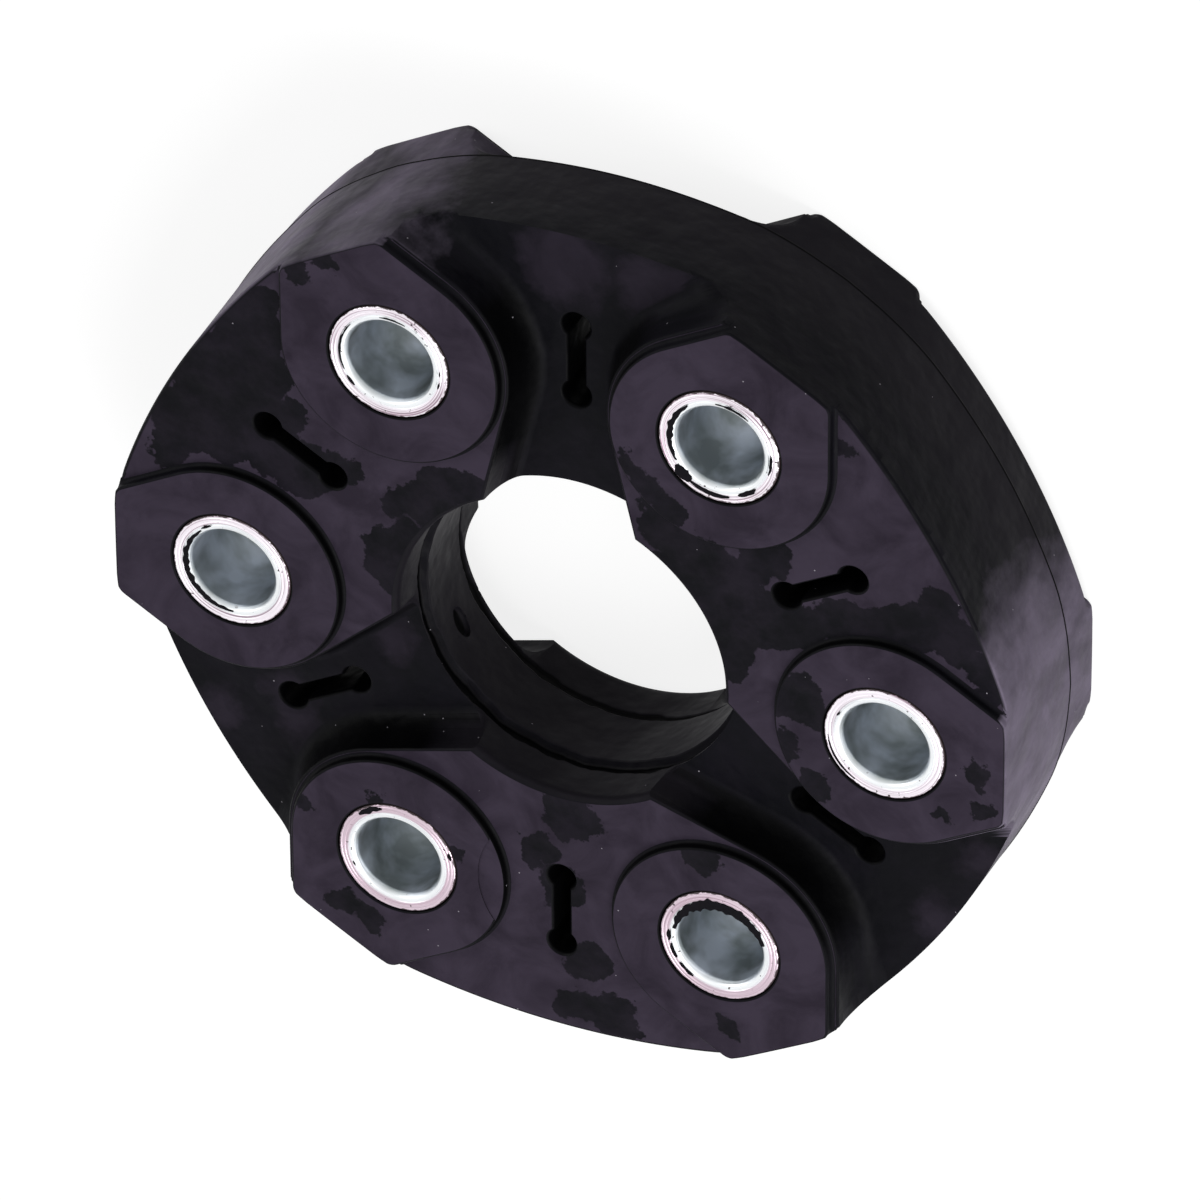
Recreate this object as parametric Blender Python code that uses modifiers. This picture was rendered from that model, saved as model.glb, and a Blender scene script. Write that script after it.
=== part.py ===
"""Driveshaft flex disc: a moulded rubber disc with six steel bushes and wound cord loops inside.

Blender 4.5, metres, +Z up. The origin is the centre of the disc at mid-thickness, and +Z is the shaft's axis.
Each bush pair is joined by cord: the thick spans carry a front and a rear loop, the thin spans one middle loop.
"""

import math

import bmesh
import bpy
from mathutils import Matrix, Vector

# Driving sizes, in metres and radians
pair_count = 3                          # bushes on each shaft flange
bush_circle_radius = 0.0480             # shaft axis to bush axis
disc_thickness = 0.0300                 # bush end to bush end
seat_clearance = 0.0003                 # gap all round a piece that sits in or on another

bore_radius = 0.00615                   # clears an M12 flange bolt
bore_chamfer = 0.0005
bush_face_width = 0.0026                # bright ring that the flange clamps
bush_shoulder = 0.00185                 # step that locks the bush into the rubber
bush_neck_length = 0.0030               # from the bush end to its shoulder

loop_width = 0.0037                     # radial width of a wound cord loop
collar_thickness = 0.0008
collar_setback = 0.0005                 # collar rim inside the loop's rim
web_cover = 0.0028                      # rubber over the middle loops in the thin spans

boss_wall = 0.0011                      # rubber outside the loops at each bush
boss_flat_reach = 0.0175                # bush axis to the flat on the disc's rim
boss_side_angle = math.radians(30)      # how far each boss side turns in towards that flat
pad_rise = 0.0014                       # bush end above the thick spans
recess_depth = 0.0076                   # bush end to the floor of a thin span
ledge_width = 0.0010                    # shelf round each boss above a recess
recess_wall_run = 0.0030                # how far the hollow wall of a recess spreads at its floor
recess_inner_flare = math.radians(13)   # how far the recess opens towards the centre hole
floor_outer_flare = math.radians(45)    # how far its floor fans out towards the rim

rim_reach = 0.0159                      # rim at mid-span, beyond the bush circle
rim_bulge = 0.0004                      # drum wider at the mould's parting line
hole_wall = 0.0027                      # rubber between the loops and the centre hole
hole_band_rise = 0.0006                 # band that stands proud inside the hole
hole_band_width = 0.0104

slot_length = 0.0150
slot_end_radius = 0.0020
slot_waist_width = 0.0023
slot_loop_wall = 0.0008                 # rubber between the slot and the loop outside it

round_steps = 24                        # facets round each bush
pad_steps = 16                          # facets of each boss pad's round side
slot_end_steps = 8
hole_steps = 36
rim_steps = 6                           # facets of the rim in each span
recess_wall_steps = 4
recess_arc_steps = 6

# Sizes that follow from them
bush_count = 2 * pair_count
half_step = math.pi / bush_count
bush_line = bush_circle_radius * math.cos(half_step)
half_spacing = bush_circle_radius * math.sin(half_step)
half_thickness = disc_thickness / 2
cut_overrun = 0.2 * disc_thickness

bush_end_radius = bore_radius + bush_face_width
seat_radius = bush_end_radius + bush_shoulder
seat_half = half_thickness - bush_neck_length
loop_inner = seat_radius + seat_clearance
loop_outer = loop_inner + loop_width
collar_outer = loop_outer - collar_setback

land_half = half_thickness - pad_rise
web_half = half_thickness - recess_depth
middle_loop_half = web_half - web_cover - seat_clearance
collar_low = middle_loop_half + seat_clearance
collar_high = collar_low + collar_thickness
outer_loop_low = collar_high + seat_clearance
outer_loop_high = seat_half - seat_clearance

boss_radius = loop_outer + seat_clearance + boss_wall
pad_tip_reach = boss_radius / math.sin(boss_side_angle)
ledge_radius = boss_radius + ledge_width
floor_radius = ledge_radius + recess_wall_run
rim_radius = bush_circle_radius + rim_reach
recess_reach = rim_radius + cut_overrun
hole_radius = bush_line - loop_outer - seat_clearance - hole_wall
band_radius = hole_radius - hole_band_rise
slot_outer_end = bush_line + loop_inner - seat_clearance - slot_loop_wall
slot_middle = slot_outer_end - slot_length / 2


def bush_angle(number):
    """Direction of a bush, numbered from 1."""
    return math.pi / 2 + (number - 1) * 2 * half_step


def span_angle(number):
    """Direction of the span that follows the bush of the same number."""
    return bush_angle(number) + half_step


def is_thick(number):
    """Odd spans are thick and carry two loops, even ones are thin and carry one."""
    return number % 2 == 1


def next_bush(number):
    """The bush at the far end of a span."""
    return number % bush_count + 1


def clear_scene():
    """Remove what the scene holds."""
    for item in list(bpy.data.objects):
        bpy.data.objects.remove(item, do_unlink=True)


def new_collection(name):
    """Add a collection to the scene."""
    collection = bpy.data.collections.new(name)
    bpy.context.scene.collection.children.link(collection)
    return collection


def new_material(name, colour, roughness, metallic):
    """Make a plain Principled material."""
    material = bpy.data.materials.new(name)
    material.use_nodes = True
    shader = material.node_tree.nodes["Principled BSDF"]
    shader.inputs["Base Color"].default_value = (*colour, 1.0)
    shader.inputs["Roughness"].default_value = roughness
    shader.inputs["Metallic"].default_value = metallic
    return material


def arc(centre, radius, start, end, steps):
    """Points on an arc, from one angle to another."""
    angles = [start + (end - start) * i / steps for i in range(steps + 1)]
    return [centre + radius * Vector((math.cos(a), math.sin(a))) for a in angles]


def rotated(points, angle):
    """Flat points turned about the origin."""
    turn = Matrix.Rotation(angle, 2)
    return [turn @ point for point in points]


def mirrored(points):
    """Flat points mirrored across the X axis, in the opposite order."""
    return [Vector((point.x, -point.y)) for point in reversed(points)]


def plate_mesh(name, outlines, low, high):
    """Mesh of a flat plate between two heights; every outline after the first is a hole in it."""
    curve = bpy.data.curves.new(name, "CURVE")
    curve.dimensions = "2D"
    curve.fill_mode = "BOTH"
    curve.extrude = (high - low) / 2
    for outline in outlines:
        spline = curve.splines.new("POLY")
        spline.points.add(len(outline) - 1)
        for point, place in zip(spline.points, outline):
            point.co = (place.x, place.y, 0, 1)
        spline.use_cyclic_u = True
    item = bpy.data.objects.new(name, curve)
    bpy.context.scene.collection.objects.link(item)
    shape = item.evaluated_get(bpy.context.evaluated_depsgraph_get())
    mesh = bpy.data.meshes.new_from_object(shape)
    bpy.data.objects.remove(item)
    bpy.data.curves.remove(curve)
    mesh.name = name
    solid = bmesh.new()
    solid.from_mesh(mesh)
    bmesh.ops.remove_doubles(solid, verts=solid.verts, dist=0.000001)
    bmesh.ops.translate(solid, verts=solid.verts, vec=(0, 0, (low + high) / 2))
    solid.to_mesh(mesh)
    solid.free()
    return mesh


def profile_mesh(name, profile, closed):
    """Mesh of the line that a turned shape is swept from, as (radius, height) pairs."""
    mesh = bpy.data.meshes.new(name)
    line = bmesh.new()
    verts = [line.verts.new((radius, 0, height)) for radius, height in profile]
    for start, end in zip(verts, verts[1:]):
        line.edges.new((start, end))
    if closed:
        line.edges.new((verts[-1], verts[0]))
    line.to_mesh(mesh)
    line.free()
    return mesh


def loft_mesh(name, levels):
    """Mesh of a solid through flat outlines of as many points each, from the lowest height up."""
    solid = bmesh.new()
    rings = []
    for height, outline in levels:
        verts = [solid.verts.new((point.x, point.y, height)) for point in outline]
        rings.append([solid.edges.new((v, verts[i - 1])) for i, v in enumerate(verts)])
    for below, above in zip(rings, rings[1:]):
        bmesh.ops.bridge_loops(solid, edges=below + above)
    for ring in (rings[0], rings[-1]):
        bmesh.ops.contextual_create(solid, geom=ring)
    bmesh.ops.recalc_face_normals(solid, faces=solid.faces)
    mesh = bpy.data.meshes.new(name)
    solid.to_mesh(mesh)
    solid.free()
    return mesh


def place(name, mesh, collection, parent, material=None, distance=0.0, angle=0.0):
    """Put an object at a distance from the centre, turned to face away from it."""
    item = bpy.data.objects.new(name, mesh)
    collection.objects.link(item)
    item.parent = parent
    item.location = (distance * math.cos(angle), distance * math.sin(angle), 0)
    item.rotation_euler = (0, 0, angle)
    if material:
        mesh.materials.clear()
        mesh.materials.append(material)
    return item


def place_cutter(name, mesh, collection, parent, distance=0.0, angle=0.0):
    """Put a shape that only removes material."""
    item = place(name, mesh, collection, parent, None, distance, angle)
    item.hide_render = True
    item.display_type = "WIRE"
    return item


def add_screw(item, steps):
    """Turn a profile all the way round the object's own Z axis."""
    screw = item.modifiers.new("turn", "SCREW")
    screw.angle = 2 * math.pi
    screw.steps = steps
    screw.render_steps = steps
    screw.use_merge_vertices = True
    screw.merge_threshold = 0.00001
    screw.use_smooth_shade = True
    return item


def rim_outline():
    """The drum seen along the shaft: a flat at each bush and a shallow bow between, corner to corner."""
    flat_half = (boss_radius - boss_flat_reach * math.sin(boss_side_angle)) / math.cos(boss_side_angle)
    corner = rotated([Vector((bush_circle_radius + boss_flat_reach, -flat_half))], half_step)[0]
    rise = rim_radius - corner.x
    bow_radius = (corner.y ** 2 + rise ** 2) / (2 * rise)
    sweep = math.asin(corner.y / bow_radius)
    span = arc(Vector((rim_radius - bow_radius, 0)), bow_radius, -sweep, sweep, rim_steps)
    outline = []
    for number in range(1, bush_count + 1):
        outline += rotated(span, span_angle(number))
    return outline


def pad_outline(angle):
    """A boss pad: round at its bush, with two straight sides that run past the rim and meet."""
    inner = arc(Vector((0, 0)), boss_radius, math.pi / 2 - boss_side_angle,
                3 * math.pi / 2 + boss_side_angle, pad_steps)
    tip = Vector((pad_tip_reach, 0))
    centre = Vector((bush_circle_radius, 0))
    return rotated([centre + point for point in inner + [tip]], angle)


def recess_outline(distance, outer_flare):
    """A recess seen along the shaft, at a distance from both bush axes."""
    centre = Vector((bush_line, half_spacing))
    turns = [-recess_inner_flare + (recess_inner_flare + outer_flare) * i / recess_arc_steps
             for i in range(recess_arc_steps + 1)]
    side = [centre + distance * Vector((math.sin(t), -math.cos(t))) for t in turns]
    inner_run = side[0].x - hole_radius / 2
    inner_end = side[0] + inner_run * Vector((-1, math.tan(recess_inner_flare)))
    outer_run = recess_reach - side[-1].x
    outer_end = side[-1] + outer_run * Vector((1, math.tan(outer_flare)))
    side = [inner_end] + side + [outer_end]
    return mirrored(side) + side


def recess_mesh():
    """The hollow of a thin span: its walls curve out into the floor as a wide fillet."""
    top = recess_outline(ledge_radius, half_step + boss_side_angle)
    floor = recess_outline(floor_radius, floor_outer_flare)
    levels = [(half_thickness + cut_overrun, top)]
    for i in range(recess_wall_steps + 1):
        turn = 0.5 * math.pi * i / recess_wall_steps
        spread = 1 - math.cos(turn)
        height = land_half - (land_half - web_half) * math.sin(turn)
        levels.append((height, [a.lerp(b, spread) for a, b in zip(top, floor)]))
    levels.reverse()
    return loft_mesh("recess", levels)


def slot_outline():
    """A dog-bone slot: a narrow waist between two round ends, lying along the X axis."""
    half_waist = slot_waist_width / 2
    neck = math.asin(half_waist / slot_end_radius)
    end_centre = Vector((slot_length / 2 - slot_end_radius, 0))
    end = arc(end_centre, slot_end_radius, neck - math.pi, math.pi - neck, slot_end_steps)
    return end + rotated(end, math.pi)


def loop_outlines(grow):
    """A wound loop round two bushes, seen along the shaft, made larger all round by a clearance."""
    outlines = []
    for radius in (loop_outer + grow, loop_inner - grow):
        end = arc(Vector((0, half_spacing)), radius, 0, math.pi, round_steps // 2)
        outlines.append(end + rotated(end, math.pi))
    return outlines


def loop_meshes(name, grow):
    """Mesh of a loop in each layer, made larger all round by a clearance."""
    outlines = loop_outlines(grow)
    layers = {"front": (outer_loop_low, outer_loop_high),
              "middle": (-middle_loop_half, middle_loop_half),
              "rear": (-outer_loop_high, -outer_loop_low)}
    return {layer: plate_mesh(f"{name}_{layer}", outlines, low - grow, high + grow)
            for layer, (low, high) in layers.items()}


def loop_layers(number):
    """Layers of the loops in a span: two in a thick one, one in a thin one."""
    return ("front", "rear") if is_thick(number) else ("middle",)


def drum_mesh():
    """The plain drum, a little wider where the mould parts, level with the floor of the rear recesses."""
    mesh = plate_mesh("rubber_body", [rim_outline()], -half_thickness, half_thickness)
    drum = bmesh.new()
    drum.from_mesh(mesh)
    parting = Vector((0, 0, -web_half))
    cut = bmesh.ops.bisect_plane(drum, geom=drum.verts[:] + drum.edges[:] + drum.faces[:],
                                 plane_co=parting, plane_no=(0, 0, 1))
    ring = [item for item in cut["geom_cut"] if isinstance(item, bmesh.types.BMVert)]
    widening = 1 + rim_bulge / rim_radius
    bmesh.ops.scale(drum, verts=ring, vec=(widening, widening, 1))
    drum.to_mesh(mesh)
    drum.free()
    return mesh


def add_face_cutters(cutters, parent):
    """Lower both faces round the boss pads, and sink the recesses of the thin spans."""
    pads = [pad_outline(bush_angle(number)) for number in range(1, bush_count + 1)]
    clear_radius = bush_circle_radius + pad_tip_reach + cut_overrun
    surround = arc(Vector((0, 0)), clear_radius, 0, 2 * math.pi, hole_steps)[:-1]
    face = plate_mesh("face_step", [surround] + pads, land_half, half_thickness + cut_overrun)
    recess = recess_mesh()
    for side, flip in (("front", 0), ("rear", math.pi)):
        step = place_cutter(f"face_step_{side}", face, cutters, parent)
        step.rotation_euler.x = flip
        for number in range(2, bush_count + 1, 2):
            hollow = place_cutter(f"recess_{side}_{number}", recess, cutters, parent)
            hollow.matrix_local = Matrix.Rotation(span_angle(number), 4, "Z") @ Matrix.Rotation(flip, 4, "X")


def add_hole_cutter(cutters, parent):
    """The centre hole, with a band that stands proud round its middle."""
    band_half = hole_band_width / 2
    top = half_thickness + cut_overrun
    profile = [(0, top), (hole_radius, top), (hole_radius, band_half), (band_radius, band_half),
               (band_radius, -band_half), (hole_radius, -band_half), (hole_radius, -top), (0, -top)]
    add_screw(place_cutter("centre_hole", profile_mesh("centre_hole", profile, False), cutters, parent), hole_steps)


def add_slot_cutters(cutters, parent):
    """A slot right through the rubber in the middle of each span."""
    top = half_thickness + cut_overrun
    slot = plate_mesh("slot", [slot_outline()], -top, top)
    for number in range(1, bush_count + 1):
        place_cutter(f"slot_{number}", slot, cutters, parent, slot_middle, span_angle(number))


def add_bush_cutters(cutters, parent):
    """The seat of each bush, with the grooves of its two collars."""
    top = half_thickness + cut_overrun
    neck = bush_end_radius + seat_clearance
    seat = seat_radius + seat_clearance
    groove = collar_outer + seat_clearance
    groove_low = collar_low - seat_clearance
    groove_high = collar_high + seat_clearance
    shoulder = seat_half + seat_clearance
    upper = [(0, top), (neck, top), (neck, shoulder), (seat, shoulder), (seat, groove_high),
             (groove, groove_high), (groove, groove_low), (seat, groove_low)]
    lower = [(radius, -height) for radius, height in reversed(upper)]
    mesh = profile_mesh("bush_seat", upper + lower, False)
    for number in range(1, bush_count + 1):
        cutter = place_cutter(f"bush_seat_{number}", mesh, cutters, parent, bush_circle_radius, bush_angle(number))
        add_screw(cutter, round_steps)


def add_loop_cutters(cutters, parent):
    """The space that each cord loop takes up in the rubber."""
    meshes = loop_meshes("loop_space", seat_clearance)
    for number in range(1, bush_count + 1):
        for layer in loop_layers(number):
            name = f"loop_space_{layer}_{number}"
            place_cutter(name, meshes[layer], cutters, parent, bush_line, span_angle(number))


def build_rubber_body(parts, cutters, parent, material):
    """One rubber moulding, with everything that it closes round cut out of it."""
    body = place("rubber_body", drum_mesh(), parts, parent, material)
    add_face_cutters(cutters, parent)
    add_hole_cutter(cutters, parent)
    add_slot_cutters(cutters, parent)
    add_bush_cutters(cutters, parent)
    add_loop_cutters(cutters, parent)
    cut = body.modifiers.new("moulded_spaces", "BOOLEAN")
    cut.operation = "DIFFERENCE"
    cut.operand_type = "COLLECTION"
    cut.collection = cutters


def build_bushes(parts, parent, material):
    """Six turned sleeves, each with a shoulder inside the rubber at both ends."""
    mouth = bore_radius + bore_chamfer
    straight = half_thickness - bore_chamfer
    profile = [(mouth, half_thickness), (bush_end_radius, half_thickness), (bush_end_radius, seat_half),
               (seat_radius, seat_half), (seat_radius, -seat_half), (bush_end_radius, -seat_half),
               (bush_end_radius, -half_thickness), (mouth, -half_thickness),
               (bore_radius, -straight), (bore_radius, straight)]
    mesh = profile_mesh("bush", profile, True)
    for number in range(1, bush_count + 1):
        bush = place(f"bush_{number}", mesh, parts, parent, material, bush_circle_radius, bush_angle(number))
        add_screw(bush, round_steps)


def build_collars(parts, parent, material):
    """Two thin rings round each bush, which keep its three loops apart."""
    turn = 2 * math.pi
    rings = [arc(Vector((0, 0)), radius, 0, turn, round_steps)[:-1] for radius in (collar_outer, loop_inner)]
    for side, low, high in (("front", collar_low, collar_high), ("rear", -collar_high, -collar_low)):
        mesh = plate_mesh(f"collar_{side}", rings, low, high)
        for number in range(1, bush_count + 1):
            place(f"collar_{side}_{number}", mesh, parts, parent, material, bush_circle_radius, bush_angle(number))


def build_loops(parts, parent, material):
    """The wound cord loops that carry the drive from bush to bush."""
    meshes = loop_meshes("cord_loop", 0)
    for number in range(1, bush_count + 1):
        for layer in loop_layers(number):
            name = f"cord_loop_{layer}_{number}_{next_bush(number)}"
            place(name, meshes[layer], parts, parent, material, bush_line, span_angle(number))


def build():
    """Model the whole disc."""
    clear_scene()
    parts = new_collection("flex_disc")
    cutters = new_collection("cutters")
    centre = bpy.data.objects.new("disc_centre", None)
    parts.objects.link(centre)
    rubber = new_material("moulded_rubber", (0.012, 0.011, 0.013), 0.62, 0.0)
    zinc = new_material("zinc_plated_steel", (0.72, 0.74, 0.76), 0.32, 1.0)
    steel = new_material("pressed_steel", (0.42, 0.43, 0.44), 0.45, 1.0)
    cord = new_material("bonded_cord", (0.30, 0.23, 0.14), 0.85, 0.0)
    build_bushes(parts, centre, zinc)
    build_collars(parts, centre, steel)
    build_loops(parts, centre, cord)
    build_rubber_body(parts, cutters, centre, rubber)


build()
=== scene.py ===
# %% [markdown]
# # A driveshaft flex disc
# The object is a shaft coupling: a thick rubber disc, moulded round six zinc plated steel bushes and the
# cord loops that tie them together. Three bolts go to each shaft, and the rubber between them takes up
# misalignment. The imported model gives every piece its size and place, so the cells below start from it and
# only add the looks.

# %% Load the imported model
import math
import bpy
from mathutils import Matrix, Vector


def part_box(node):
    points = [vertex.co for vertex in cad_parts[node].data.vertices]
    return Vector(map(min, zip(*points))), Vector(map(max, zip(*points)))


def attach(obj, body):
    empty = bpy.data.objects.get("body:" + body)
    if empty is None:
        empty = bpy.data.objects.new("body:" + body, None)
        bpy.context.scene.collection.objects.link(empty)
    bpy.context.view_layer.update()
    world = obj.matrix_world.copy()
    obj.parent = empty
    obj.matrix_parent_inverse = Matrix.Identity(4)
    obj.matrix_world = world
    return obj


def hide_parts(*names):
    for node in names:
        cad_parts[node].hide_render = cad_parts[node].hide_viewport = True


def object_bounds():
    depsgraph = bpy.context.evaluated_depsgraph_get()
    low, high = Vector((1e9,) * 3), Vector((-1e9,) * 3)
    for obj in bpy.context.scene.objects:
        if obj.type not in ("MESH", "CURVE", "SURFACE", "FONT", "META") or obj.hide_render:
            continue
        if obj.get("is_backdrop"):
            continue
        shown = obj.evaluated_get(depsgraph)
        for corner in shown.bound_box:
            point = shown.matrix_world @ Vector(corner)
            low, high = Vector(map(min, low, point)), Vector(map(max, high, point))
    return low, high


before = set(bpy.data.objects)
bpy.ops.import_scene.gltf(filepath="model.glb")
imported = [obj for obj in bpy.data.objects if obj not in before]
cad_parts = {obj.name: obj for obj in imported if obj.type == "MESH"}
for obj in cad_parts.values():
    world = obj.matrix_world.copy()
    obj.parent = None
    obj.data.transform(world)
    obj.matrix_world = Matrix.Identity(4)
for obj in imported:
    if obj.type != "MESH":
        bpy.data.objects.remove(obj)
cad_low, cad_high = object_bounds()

from types import SimpleNamespace

import bmesh
import bpy
from mathutils import Matrix, Vector, noise

print("nodes:", len(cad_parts), "size in mm:", [round(1000 * side, 1) for side in cad_high - cad_low])

# %% [markdown]
# ## Where things are
# A mould maker's drawing is in millimetres, so the shapes below are too, and one factor turns them to
# metres. The bushes give the layout: six of them, equally spaced round the shaft's axis. Spans between them
# alternate, and a thick span carries two cord loops where a thin one carries one.

# %% Bush places, read from the model
MM = 0.001
bush_numbers = range(1, 7)
bush_axes = {}
for number in bush_numbers:
    low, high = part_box(f"bush_{number}")
    bush_axes[number] = (low + high) / (2 * MM)
half_thickness = cad_high.z / MM
bush_circle = bush_axes[1].xy.length
half_step = math.pi / len(bush_axes)
bush_line = bush_circle * math.cos(half_step)
half_spacing = bush_circle * math.sin(half_step)
bush_turns = {number: math.atan2(axis.y, axis.x) for number, axis in bush_axes.items()}
thick_spans = [bush_turns[number] + half_step for number in (1, 3, 5)]
thin_spans = [bush_turns[number] + half_step for number in (2, 4, 6)]
print("bush circle", round(bush_circle, 2), "mm, half thickness", round(half_thickness, 2), "mm")

# %% [markdown]
# ## The camera
# The photograph was taken from far away with a long lens, so its lines stay almost parallel. The six bush
# ends lie on a regular hexagon, and that fixed the direction of view: 31 degrees round from the +X axis and
# 47 degrees above the disc, with the camera rolled far over. The camera is made first, so that every render
# is framed alike.

# %% Make the camera
view_turn = math.radians(30.77)
view_height = math.radians(46.87)
view_roll = math.radians(217.07)
view_distance = 1.9488
view_shift = Vector((0.00604, 0.00764))

away = Vector((math.cos(view_height) * math.cos(view_turn), math.cos(view_height) * math.sin(view_turn),
               math.sin(view_height)))
level_right = Vector((0, 0, 1)).cross(away).normalized()
level_up = away.cross(level_right)
camera_right = math.cos(view_roll) * level_right + math.sin(view_roll) * level_up
camera_up = away.cross(camera_right)
camera_data = bpy.data.cameras.new("photo_view")
camera_data.lens = 436.6
camera_data.sensor_width = 36
camera_data.clip_end = 20
camera = bpy.data.objects.new("photo_view", camera_data)
bpy.context.scene.collection.objects.link(camera)
camera.matrix_world = Matrix((camera_right, camera_up, away)).transposed().to_4x4()
camera.location = (Vector((0, 0, cad_high.z)) + away * view_distance
                   + camera_right * view_shift.x + camera_up * view_shift.y)
bpy.context.scene.camera = camera
print("camera at", [round(value, 3) for value in camera.location])

# %% [markdown]
# ## Solids from lofts
# The disc was pressed in a steel mould, and the mould was milled, so its forms are flat outlines that change
# with depth: walls lean, edges are rounded by the cutter and hollows end in wide fillets. A loft says just
# that. Each loop of points is one outline at one height, and Bridge Edge Loops joins them. Rounded edges are
# part of the loft, which stays clean where a bevel after many cuts would not.

# %% Helpers for lofts
def flat_arc(centre, radius, start, end, steps):
    """Points on an arc from one angle to another, in millimetres."""
    turns = [start + (end - start) * i / steps for i in range(steps + 1)]
    return [Vector(centre) + radius * Vector((math.cos(turn), math.sin(turn))) for turn in turns]


def turned(points, angle):
    """Flat points turned about the shaft's axis."""
    turn = Matrix.Rotation(angle, 2)
    return [turn @ point for point in points]


def add_loop(solid, points, height):
    """A closed loop of edges through flat points at one height."""
    verts = [solid.verts.new((point.x * MM, point.y * MM, height * MM)) for point in points]
    return [solid.edges.new((vert, verts[i - 1])) for i, vert in enumerate(verts)]


def finish_solid(solid, name):
    """Turn a bmesh into an object that is ready for a Boolean."""
    bmesh.ops.recalc_face_normals(solid, faces=solid.faces)
    mesh = bpy.data.meshes.new(name)
    solid.to_mesh(mesh)
    solid.free()
    item = bpy.data.objects.new(name, mesh)
    bpy.context.scene.collection.objects.link(item)
    return item


def loft(name, levels):
    """A closed solid through outlines of as many points each, given as (height, outline) from end to end."""
    solid = bmesh.new()
    loops = [add_loop(solid, outline, height) for height, outline in levels]
    for lower, upper in zip(loops, loops[1:]):
        bmesh.ops.bridge_loops(solid, edges=lower + upper)
    for cap in (loops[0], loops[-1]):
        bmesh.ops.contextual_create(solid, geom=cap)
    return finish_solid(solid, name)


def revolve(name, profile, axis, steps):
    """A turned solid from a profile of (radius, height), closed on itself or on its axis."""
    solid = bmesh.new()
    verts = [solid.verts.new(((axis.x + radius) * MM, axis.y * MM, height * MM)) for radius,
             height in profile]
    edges = [solid.edges.new(pair) for pair in zip(verts, verts[1:])]
    if profile[0][0] > 0:
        edges.append(solid.edges.new((verts[-1], verts[0])))
    bmesh.ops.spin(solid, geom=verts + edges, cent=(axis.x * MM, axis.y * MM, 0), axis=(0, 0, 1),
                   angle=2 * math.pi, steps=steps, use_merge=True)
    bmesh.ops.remove_doubles(solid, verts=solid.verts, dist=0.0001 * MM)
    return finish_solid(solid, name)


def place_copy(source, angle, flip):
    """A copy of a cutter turned about the shaft's axis, and turned over first for the rear face."""
    item = bpy.data.objects.new(source.name, source.data.copy())
    bpy.context.scene.collection.objects.link(item)
    if flip:
        item.data.transform(Matrix.Rotation(math.pi, 4, "X"))
    item.data.transform(Matrix.Rotation(angle, 4, "Z"))
    return item


def cut_away(body, cutters):
    """Take every cutter away from a body with one exact Boolean, and keep the result as its mesh."""
    bench = bpy.data.collections.new("cutters")
    for cutter in cutters:
        bench.objects.link(cutter)
    boolean = body.modifiers.new("cut", "BOOLEAN")
    boolean.operand_type = "COLLECTION"
    boolean.collection = bench
    boolean.solver = "EXACT"
    result = bpy.data.meshes.new_from_object(body.evaluated_get(bpy.context.evaluated_depsgraph_get()))
    body.modifiers.clear()
    body.data = result
    for cutter in cutters:
        bpy.data.objects.remove(cutter)
    bpy.data.collections.remove(bench)
    return body


# %% [markdown]
# ## The drum
# Seen along the shaft, the disc is a round drum with a flat at each bush. The corner where a flat meets the
# round is soft, and fades further towards the parting line, where the two halves of the mould met. That line
# stays as a fine raised one all round the drum.

# %% Outline of the drum
flat_reach = 17.5
rim_reach = 15.9
pad_radius = 16.0
pad_side_turn = math.radians(30)
flat_half = (pad_radius - flat_reach * math.sin(pad_side_turn)) / math.cos(pad_side_turn)
corner = turned([Vector((bush_circle + flat_reach, -flat_half))], half_step)[0]
rim_radius = bush_circle + rim_reach
bow_steps = 26
bow_rise = rim_radius - corner.x
bow_radius = (corner.y ** 2 + bow_rise ** 2) / (2 * bow_rise)
bow_centre = rim_radius - bow_radius
corner_turn = math.atan2(corner.y, corner.x)
print("drum corner", round(corner.length, 2), "mm out,", round(math.degrees(corner_turn), 1),
      "degrees from mid-span")


def drum_radius(turn, softness, widening):
    """Distance to the rim in a direction, counted from the middle of a span, with its corners softened."""
    bow = bow_centre * math.cos(turn) + math.sqrt(bow_radius ** 2 - (bow_centre * math.sin(turn)) ** 2)
    flat = (bush_circle + flat_reach) / math.cos(half_step - abs(turn))
    overlap = max(softness - abs(bow - flat), 0)
    rounding = overlap ** 2 / (4 * softness)
    middle = 0.5 + 0.5 * math.cos(math.pi * min(abs(turn) / corner_turn, 1))
    return min(bow, flat) - rounding + widening * middle


def drum_outline(inset, softness, widening):
    """The drum's outline, drawn in from the rim."""
    fine = [math.radians(value) for value in (2.2, 1.2, 0.6, 0.25)]
    bow_turns = [-corner_turn + step for step in reversed(fine)]
    inner = corner_turn - fine[0]
    middle_turns = [-inner + 2 * inner * i / bow_steps for i in range(1, bow_steps)]
    bow_turns += middle_turns + [-turn for turn in reversed(bow_turns)]
    flat_turns = [corner_turn] + [corner_turn + step for step in reversed(fine)]
    flat_span = 2 * (half_step - corner_turn)
    flat_turns += [corner_turn + flat_span * i / 8 for i in range(3, 6)]
    flat_turns += [corner_turn + flat_span - step for step in fine] + [corner_turn + flat_span]
    outline = []
    for span in range(6):
        base = span * 2 * half_step + bush_turns[1] + half_step
        for turn in bow_turns + flat_turns:
            local = turn if turn <= half_step else turn - 2 * half_step
            radius = drum_radius(local, softness, widening) - inset
            outline.append(radius * Vector((math.cos(base + turn), math.sin(base + turn))))
    return outline


# %% [markdown]
# The drum is a stack of outlines: rounded at both faces, and widest and softest at the parting line.

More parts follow.
